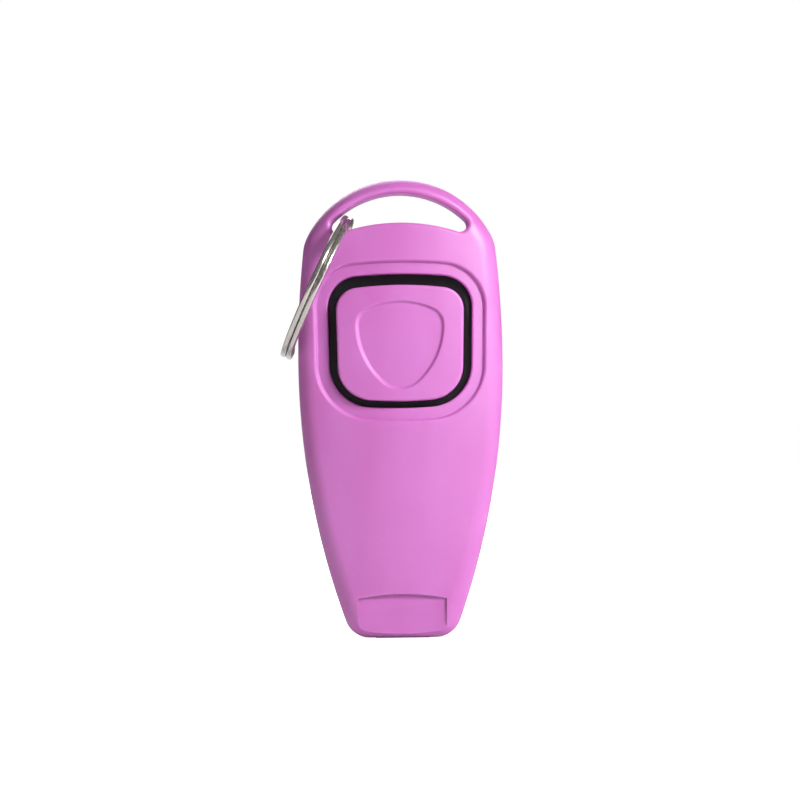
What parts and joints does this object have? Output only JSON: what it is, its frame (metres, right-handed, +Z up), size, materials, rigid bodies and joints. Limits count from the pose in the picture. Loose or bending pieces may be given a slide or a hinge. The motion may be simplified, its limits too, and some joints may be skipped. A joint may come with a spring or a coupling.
{
  "type": "clicker trainer",
  "caption": "Pocket pet-training clicker with a whistle mouthpiece, a thumb button, a lanyard loop and a split key ring.",
  "frame": {"origin": "middle of the lanyard slot, half-way through the loop's thickness", "axes": "+X to the right seen from the front, +Y from the front face to the back, +Z up along the body towards the loop, so the part hangs upright from its loop with the front facing -Y"},
  "size_m": [0.0364, 0.0254, 0.075],
  "materials": {
    "casing": "satin orchid-pink ABS, finely spark-textured",
    "button": "satin orchid-pink ABS",
    "surround": "black moulded plastic",
    "spring_steel": "bright rolled spring steel",
    "screws": "zinc-plated steel",
    "ring": "nickel-plated flat steel wire"
  },
  "bodies": {
    "case": {"front_shell": "casing", "rear_shell": "casing", "button_surround": "surround", "blade_clamp": "spring_steel", "blade_screws": "screws", "case_screws": "screws", "whistle_plug": "casing"},
    "button": {"button_cap": "button"},
    "blade": {"click_blade": "spring_steel"},
    "ring": {"split_ring": "ring"}
  },
  "joints": [
    {"name": "button_press", "type": "slide", "parent": "case", "child": "button", "axis": [0, 1, 0], "range_m": [0, 0.0012], "stiffness_N_per_m": 3500, "springref_m": -0.0004},
    {"name": "blade_flex", "type": "hinge", "parent": "case", "child": "blade", "pos_m": [0, 0.00363, -0.0093], "axis": [1, 0, 0], "range_deg": [0, 6]},
    {"name": "ring_swing", "type": "hinge", "parent": "case", "child": "ring", "pos_m": [-0.00825, 0.0014, -0.00207], "axis": [0, 1, 0], "range_deg": [0, 125]}
  ],
  "couplings": [
    {"joint": "blade_flex", "follows": "button_press", "rad_per_m": 80}
  ]
}
